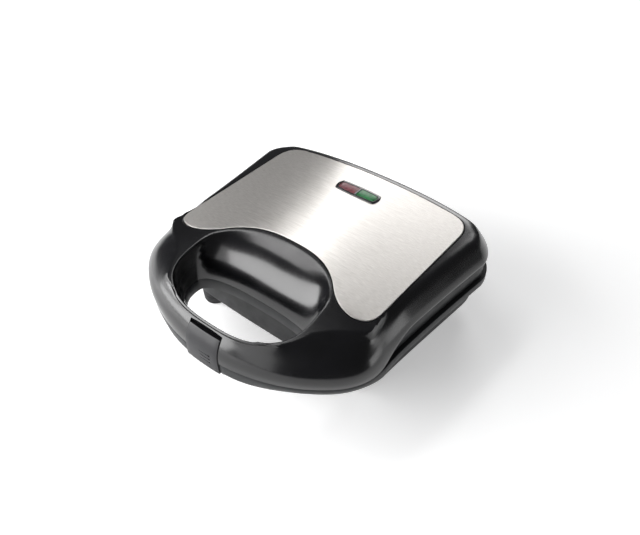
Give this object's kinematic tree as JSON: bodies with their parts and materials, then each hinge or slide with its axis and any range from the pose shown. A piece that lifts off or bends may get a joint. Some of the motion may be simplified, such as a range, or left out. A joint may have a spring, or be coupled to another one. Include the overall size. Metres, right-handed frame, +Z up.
{
  "type": "sandwich toaster",
  "caption": "Compact sandwich toaster with ridged plates, a hinged lid with a bow handle round a finger opening, a front latch and two indicator lamps.",
  "frame": {"origin": "middle of the toaster's plan box, on the table under the feet", "axes": "+Z up, +X to the right seen from the front, -Y towards the handle"},
  "size_m": [0.227, 0.2277, 0.084],
  "materials": {
    "glossy_black": "glossy",
    "satin_charcoal": "satin",
    "matt_black": "fine grain",
    "clip_grey": "satin",
    "brushed_steel": "brushed along the width",
    "coated_aluminium": "non-stick coating, semi-gloss",
    "heater_steel": "oxidised",
    "sheet_aluminium": "bright",
    "plated_steel": "plated",
    "hinge_plastic": "satin",
    "ceramic_cream": "matt",
    "soft_rubber": "matt",
    "red_lens": "glossy",
    "green_lens": "glossy"
  },
  "bodies": {
    "base": {"base_tray": "matt_black", "base_frame": "satin_charcoal", "lower_grill_plate": "coated_aluminium", "lower_heater": "heater_steel", "lower_reflector": "sheet_aluminium", "lower_heater_clips": "sheet_aluminium", "lower_plate_screws": "plated_steel", "thermostat": "ceramic_cream", "thermal_fuse": "ceramic_cream", "terminal_block": "ceramic_cream", "cord_bush": "soft_rubber", "cord_clamp": "matt_black", "base_screws": "plated_steel", "foot_front_left": "soft_rubber", "foot_front_right": "soft_rubber", "foot_rear_left": "soft_rubber", "foot_rear_right": "soft_rubber", "base_hinge_left": "hinge_plastic", "base_hinge_right": "hinge_plastic", "hinge_pin_left": "plated_steel", "hinge_pin_right": "plated_steel"},
    "lid": {"lid_shell": "glossy_black", "lid_frame": "satin_charcoal", "top_plate": "brushed_steel", "lamp_bezel": "glossy_black", "red_lens": "red_lens", "green_lens": "green_lens", "lamp_holder": "ceramic_cream", "red_lamp": "red_lens", "green_lamp": "green_lens", "upper_grill_plate": "coated_aluminium", "upper_heater": "heater_steel", "upper_reflector": "sheet_aluminium", "upper_heater_clips": "sheet_aluminium", "upper_plate_screws": "plated_steel", "lid_screws": "plated_steel", "lid_hinge_left": "hinge_plastic", "lid_hinge_right": "hinge_plastic", "latch_bracket": "hinge_plastic", "latch_pin": "plated_steel"},
    "latch": {"latch_clip": "clip_grey"}
  },
  "joints": [
    {"name": "lid_hinge", "type": "hinge", "parent": "base", "child": "lid", "pos_m": [0, 0.1093, 0.048], "axis": [-1, 0, 0], "range_deg": [0, 95]},
    {"name": "latch_pivot", "type": "hinge", "parent": "lid", "child": "latch", "pos_m": [0, -0.1054, 0.0615], "axis": [-1, 0, 0], "range_deg": [0, 35]}
  ]
}
